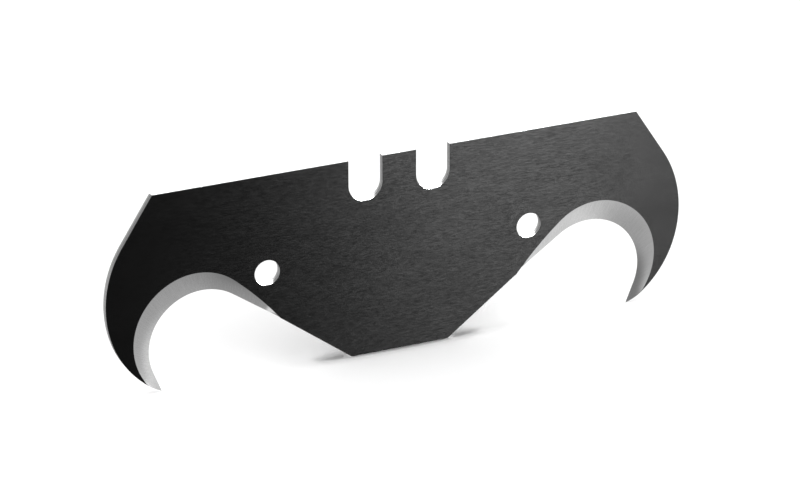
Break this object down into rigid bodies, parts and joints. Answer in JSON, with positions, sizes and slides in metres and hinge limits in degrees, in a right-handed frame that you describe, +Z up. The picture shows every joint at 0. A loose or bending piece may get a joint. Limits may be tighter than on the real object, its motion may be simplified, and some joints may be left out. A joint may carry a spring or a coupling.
{
  "type": "double-ended hook blade",
  "caption": "Flat hook blade for a utility knife, with a ground hook at each end, notches in the back and locating holes.",
  "frame": {"origin": "midway between the two locating holes, in the middle of the thickness; the bottom flat is 9.7 mm below", "axes": "+X along the blade, +Y through its thickness from the front face to the back face, +Z up its height"},
  "size_m": [0.0558, 0.0006, 0.019],
  "materials": {
    "blade_steel": "thin satin black coating with fine brushed streaks along the blade, bare ground steel on the hooks' bevels and bare punched steel on the narrow walls"
  },
  "bodies": {
    "root": {"hook_blade": "blade_steel"}
  },
  "joints": []
}
